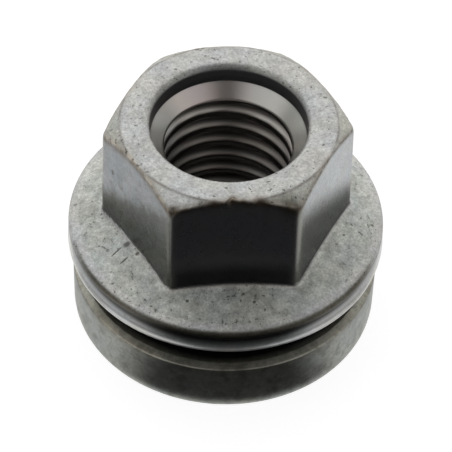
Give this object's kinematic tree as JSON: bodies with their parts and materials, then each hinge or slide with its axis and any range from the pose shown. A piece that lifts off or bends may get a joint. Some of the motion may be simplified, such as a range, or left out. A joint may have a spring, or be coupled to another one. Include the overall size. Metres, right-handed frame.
{
  "type": "wheel nut",
  "caption": "Hexagon wheel nut with a conical flange and a captive washer that turns freely under it, for clamping a wheel on a threaded stud.",
  "frame": {"origin": "centre of the washer's bearing face, on the thread axis", "axes": "+Z along the thread axis, from the bearing face to the open top; +X towards a corner of the hexagon"},
  "size_m": [0.0308, 0.0308, 0.0238],
  "materials": {
    "nut_steel": "dull grey zinc coating, speckled and worn brown along the edges",
    "washer_steel": "darker grey coating with an olive brown tint"
  },
  "bodies": {
    "nut": {"nut": "nut_steel"},
    "washer": {"captive_washer": "washer_steel"}
  },
  "joints": [
    {"name": "washer_spin", "type": "hinge", "parent": "nut", "child": "washer", "pos_m": [0, 0, 0], "axis": [0, 0, 1], "continuous": true}
  ]
}
